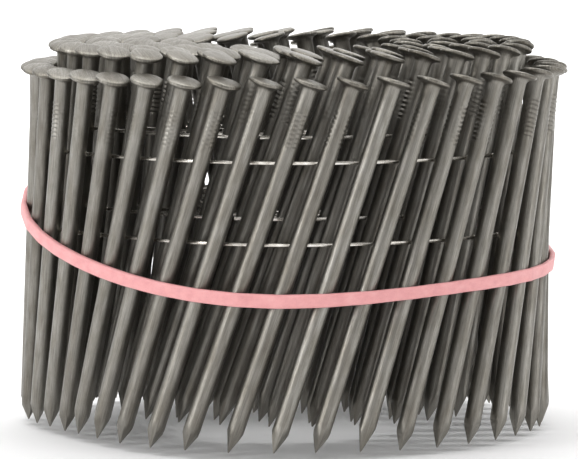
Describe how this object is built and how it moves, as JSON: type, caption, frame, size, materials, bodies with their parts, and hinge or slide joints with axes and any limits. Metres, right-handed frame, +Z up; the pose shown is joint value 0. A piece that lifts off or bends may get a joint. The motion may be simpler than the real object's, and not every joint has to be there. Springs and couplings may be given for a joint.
{
  "type": "wire-collated nail coil",
  "caption": "Coil of slanted wire-collated nails standing points down, held by a stretched rubber band, for a coil nailer's magazine.",
  "frame": {"origin": "middle of the coil's bounding box at the level of the lowest nail points", "axes": "+Z up along the winding axis, from the points to the heads; -Y towards the viewer's side of the band's lowest stretch; the strip's angle grows counter-clockwise towards its free end"},
  "size_m": [0.0839, 0.0866, 0.0594],
  "materials": {
    "nail_steel": "drawn, bright, lightly oiled",
    "tie_wire": "bright drawn",
    "band_rubber": "matt"
  },
  "bodies": {
    "coil": {"nail_05": "nail_steel", "nail_06": "nail_steel", "nail_07": "nail_steel", "nail_08": "nail_steel", "nail_09": "nail_steel", "nail_10": "nail_steel", "nail_11": "nail_steel", "nail_12": "nail_steel", "nail_13": "nail_steel", "nail_14": "nail_steel", "nail_15": "nail_steel", "nail_16": "nail_steel", "nail_17": "nail_steel", "nail_18": "nail_steel", "nail_19": "nail_steel", "nail_20": "nail_steel", "nail_21": "nail_steel", "nail_22": "nail_steel", "nail_23": "nail_steel", "nail_24": "nail_steel", "nail_25": "nail_steel", "nail_26": "nail_steel", "nail_27": "nail_steel", "nail_28": "nail_steel", "nail_29": "nail_steel", "nail_30": "nail_steel", "nail_31": "nail_steel", "nail_32": "nail_steel", "nail_33": "nail_steel", "nail_34": "nail_steel", "nail_35": "nail_steel", "nail_36": "nail_steel", "nail_37": "nail_steel", "nail_38": "nail_steel", "nail_39": "nail_steel", "nail_40": "nail_steel", "outer_upper_wire": "tie_wire", "outer_lower_wire": "tie_wire", "inner_turn_2_a": "nail_steel", "inner_turn_2_b": "nail_steel", "inner_turn_3_a": "nail_steel", "inner_turn_3_b": "nail_steel", "inner_turn_4_a": "nail_steel", "inner_turn_4_b": "nail_steel", "inner_turn_5_a": "nail_steel", "inner_turn_5_b": "nail_steel"},
    "link_4": {"nail_04": "nail_steel", "link_4_upper_wire": "tie_wire", "link_4_lower_wire": "tie_wire"},
    "link_3": {"nail_03": "nail_steel", "link_3_upper_wire": "tie_wire", "link_3_lower_wire": "tie_wire"},
    "link_2": {"nail_02": "nail_steel", "link_2_upper_wire": "tie_wire", "link_2_lower_wire": "tie_wire"},
    "link_1": {"nail_01": "nail_steel", "link_1_upper_wire": "tie_wire", "link_1_lower_wire": "tie_wire"},
    "band": {"rubber_band": "band_rubber"}
  },
  "joints": [
    {"name": "peel_4", "type": "hinge", "parent": "coil", "child": "link_4", "pos_m": [0.02535, 0.02684, 0.0371], "axis": [0.1403, -0.1858, -0.9725], "range_deg": [0, 15]},
    {"name": "peel_3", "type": "hinge", "parent": "link_4", "child": "link_3", "pos_m": [0.02099, 0.03081, 0.03709], "axis": [0.1661, -0.1557, -0.9737], "range_deg": [0, 15]},
    {"name": "peel_2", "type": "hinge", "parent": "link_3", "child": "link_2", "pos_m": [0.01607, 0.03404, 0.03708], "axis": [0.1871, -0.1223, -0.9747], "range_deg": [0, 15]},
    {"name": "peel_1", "type": "hinge", "parent": "link_2", "child": "link_1", "pos_m": [0.01069, 0.03644, 0.03707], "axis": [0.2028, -0.0861, -0.9754], "range_deg": [0, 15]},
    {"name": "band_off", "type": "slide", "parent": "coil", "child": "band", "axis": [0, 0, 1], "range_m": [0, 0.048], "deforming": ["rubber_band"]}
  ],
  "couplings": [
    {"joint": "peel_3", "follows": "peel_4", "ratio": 1},
    {"joint": "peel_2", "follows": "peel_4", "ratio": 1},
    {"joint": "peel_1", "follows": "peel_4", "ratio": 1}
  ]
}
